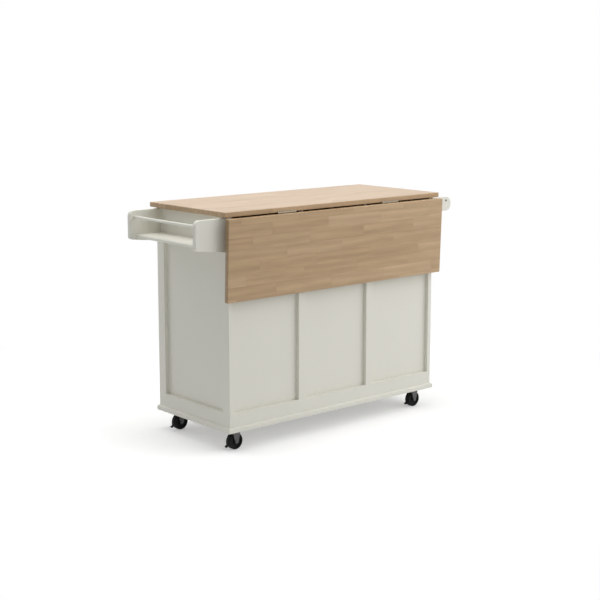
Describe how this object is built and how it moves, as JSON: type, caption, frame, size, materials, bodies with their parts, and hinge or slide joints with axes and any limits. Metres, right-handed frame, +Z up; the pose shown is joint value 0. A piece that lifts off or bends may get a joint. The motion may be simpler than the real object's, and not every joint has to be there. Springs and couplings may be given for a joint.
{
  "type": "kitchen island cart",
  "caption": "Rolling kitchen island with a butcher-block worktop, a hinged drop leaf, drawers between two cupboards, a spice rack, a towel rail and braked swivel casters.",
  "frame": {"origin": "on the floor, under the middle of the whole cart's bounding box", "axes": "+X along the cart towards the spice rack, +Y towards the back with the drop leaf, +Z up; doors and drawers face -Y"},
  "size_m": [1.337, 0.5178, 0.914],
  "materials": {
    "butcher_block": "oiled butcher block",
    "painted_wood": "off-white satin paint",
    "board": "off-white laminated board",
    "drawer_wood": "pale lacquered wood",
    "stay_wood": "oiled wood",
    "hinge_steel": "zinc plated",
    "knob_metal": "satin nickel",
    "caster_steel": "grey plated steel",
    "caster_plastic": "black moulded plastic"
  },
  "bodies": {
    "cabinet": {"worktop": "butcher_block", "end_frames": "painted_wood", "end_infills": "painted_wood", "back_frame": "painted_wood", "back_infills": "painted_wood", "front_frame": "painted_wood", "partitions": "board", "bottom_board": "board", "base_moulding": "painted_wood", "cupboard_shelves": "board", "shelf_pins": "hinge_steel", "worktop_brackets": "hinge_steel", "rack_brackets": "painted_wood", "rack_shelf": "painted_wood", "rack_rail": "painted_wood", "towel_brackets": "painted_wood", "towel_rail": "painted_wood", "leaf_hinge_plates": "hinge_steel", "leaf_hinge_pins": "hinge_steel", "stay_tracks": "hinge_steel", "door_hinge_plates": "hinge_steel", "door_hinge_pins": "hinge_steel", "drawer_runners": "hinge_steel", "caster_plates": "caster_steel", "caster_kingpins": "caster_steel"},
    "leaf": {"drop_leaf": "butcher_block", "leaf_hinge_flaps": "hinge_steel", "stay_brackets": "hinge_steel"},
    "stay_rack": {"stay_strut_rack": "stay_wood"},
    "stay_towel": {"stay_strut_towel": "stay_wood"},
    "door_rack": {"door_rack": "painted_wood", "door_knob_rack": "knob_metal", "door_hinge_leaves_rack": "hinge_steel"},
    "door_towel": {"door_towel": "painted_wood", "door_knob_towel": "knob_metal", "door_hinge_leaves_towel": "hinge_steel"},
    "drawer_top": {"drawer_front_top": "painted_wood", "drawer_box_top": "drawer_wood", "drawer_slides_top": "hinge_steel", "drawer_knob_top": "knob_metal"},
    "drawer_middle": {"drawer_front_middle": "painted_wood", "drawer_box_middle": "drawer_wood", "drawer_slides_middle": "hinge_steel", "drawer_knob_middle": "knob_metal"},
    "drawer_bottom": {"drawer_front_bottom": "painted_wood", "drawer_box_bottom": "drawer_wood", "drawer_slides_bottom": "hinge_steel", "drawer_knob_bottom": "knob_metal"},
    "caster_rack_front": {"caster_fork_rack_front": "caster_steel"},
    "wheel_rack_front": {"caster_wheel_rack_front": "caster_plastic"},
    "pedal_rack_front": {"caster_pedal_rack_front": "caster_plastic"},
    "caster_rack_back": {"caster_fork_rack_back": "caster_steel"},
    "wheel_rack_back": {"caster_wheel_rack_back": "caster_plastic"},
    "pedal_rack_back": {"caster_pedal_rack_back": "caster_plastic"},
    "caster_towel_front": {"caster_fork_towel_front": "caster_steel"},
    "wheel_towel_front": {"caster_wheel_towel_front": "caster_plastic"},
    "pedal_towel_front": {"caster_pedal_towel_front": "caster_plastic"},
    "caster_towel_back": {"caster_fork_towel_back": "caster_steel"},
    "wheel_towel_back": {"caster_wheel_towel_back": "caster_plastic"},
    "pedal_towel_back": {"caster_pedal_towel_back": "caster_plastic"}
  },
  "joints": [
    {"name": "leaf_hinge", "type": "hinge", "parent": "cabinet", "child": "leaf", "pos_m": [-0.0105, 0.24012, 0.895], "axis": [1, 0, 0], "range_deg": [0, 92]},
    {"name": "stay_rack_pivot", "type": "hinge", "parent": "leaf", "child": "stay_rack", "pos_m": [0.19883, 0.22896, 0.79033], "axis": [1, 0, 0], "range_deg": [-137.35, 0]},
    {"name": "stay_towel_pivot", "type": "hinge", "parent": "leaf", "child": "stay_towel", "pos_m": [-0.21983, 0.22896, 0.79033], "axis": [1, 0, 0], "range_deg": [-137.35, 0]},
    {"name": "door_rack_hinge", "type": "hinge", "parent": "cabinet", "child": "door_rack", "pos_m": [0.508, -0.23728, 0.4945], "axis": [0, 0, 1], "range_deg": [0, 165]},
    {"name": "door_towel_hinge", "type": "hinge", "parent": "cabinet", "child": "door_towel", "pos_m": [-0.529, -0.23728, 0.4945], "axis": [0, 0, -1], "range_deg": [0, 165]},
    {"name": "drawer_top_slide", "type": "slide", "parent": "cabinet", "child": "drawer_top", "axis": [0, -1, 0], "range_m": [0, 0.26]},
    {"name": "drawer_middle_slide", "type": "slide", "parent": "cabinet", "child": "drawer_middle", "axis": [0, -1, 0], "range_m": [0, 0.26]},
    {"name": "drawer_bottom_slide", "type": "slide", "parent": "cabinet", "child": "drawer_bottom", "axis": [0, -1, 0], "range_m": [0, 0.26]},
    {"name": "caster_rack_front_swivel", "type": "hinge", "parent": "cabinet", "child": "caster_rack_front", "pos_m": [0.4695, -0.17538, 0.07], "axis": [0, 0, 1], "continuous": true},
    {"name": "wheel_rack_front_spin", "type": "hinge", "parent": "caster_rack_front", "child": "wheel_rack_front", "pos_m": [0.4735, -0.17538, 0.032], "axis": [0, 1, 0], "continuous": true},
    {"name": "pedal_rack_front_press", "type": "hinge", "parent": "caster_rack_front", "child": "pedal_rack_front", "pos_m": [0.4904, -0.17538, 0.06379], "axis": [0, -1, 0], "range_deg": [0, 25]},
    {"name": "caster_rack_back_swivel", "type": "hinge", "parent": "cabinet", "child": "caster_rack_back", "pos_m": [0.4695, 0.18062, 0.07], "axis": [0, 0, 1], "continuous": true},
    {"name": "wheel_rack_back_spin", "type": "hinge", "parent": "caster_rack_back", "child": "wheel_rack_back", "pos_m": [0.4735, 0.18062, 0.032], "axis": [0, 1, 0], "continuous": true},
    {"name": "pedal_rack_back_press", "type": "hinge", "parent": "caster_rack_back", "child": "pedal_rack_back", "pos_m": [0.4904, 0.18062, 0.06379], "axis": [0, -1, 0], "range_deg": [0, 25]},
    {"name": "caster_towel_front_swivel", "type": "hinge", "parent": "cabinet", "child": "caster_towel_front", "pos_m": [-0.4905, -0.17538, 0.07], "axis": [0, 0, 1], "continuous": true},
    {"name": "wheel_towel_front_spin", "type": "hinge", "parent": "caster_towel_front", "child": "wheel_towel_front", "pos_m": [-0.4865, -0.17538, 0.032], "axis": [0, 1, 0], "continuous": true},
    {"name": "pedal_towel_front_press", "type": "hinge", "parent": "caster_towel_front", "child": "pedal_towel_front", "pos_m": [-0.4696, -0.17538, 0.06379], "axis": [0, -1, 0], "range_deg": [0, 25]},
    {"name": "caster_towel_back_swivel", "type": "hinge", "parent": "cabinet", "child": "caster_towel_back", "pos_m": [-0.4905, 0.18062, 0.07], "axis": [0, 0, 1], "continuous": true},
    {"name": "wheel_towel_back_spin", "type": "hinge", "parent": "caster_towel_back", "child": "wheel_towel_back", "pos_m": [-0.4865, 0.18062, 0.032], "axis": [0, 1, 0], "continuous": true},
    {"name": "pedal_towel_back_press", "type": "hinge", "parent": "caster_towel_back", "child": "pedal_towel_back", "pos_m": [-0.4696, 0.18062, 0.06379], "axis": [0, -1, 0], "range_deg": [0, 25]}
  ],
  "couplings": [
    {"joint": "stay_rack_pivot", "follows": "leaf_hinge", "ratio": -1.4928},
    {"joint": "stay_towel_pivot", "follows": "leaf_hinge", "ratio": -1.4928}
  ]
}
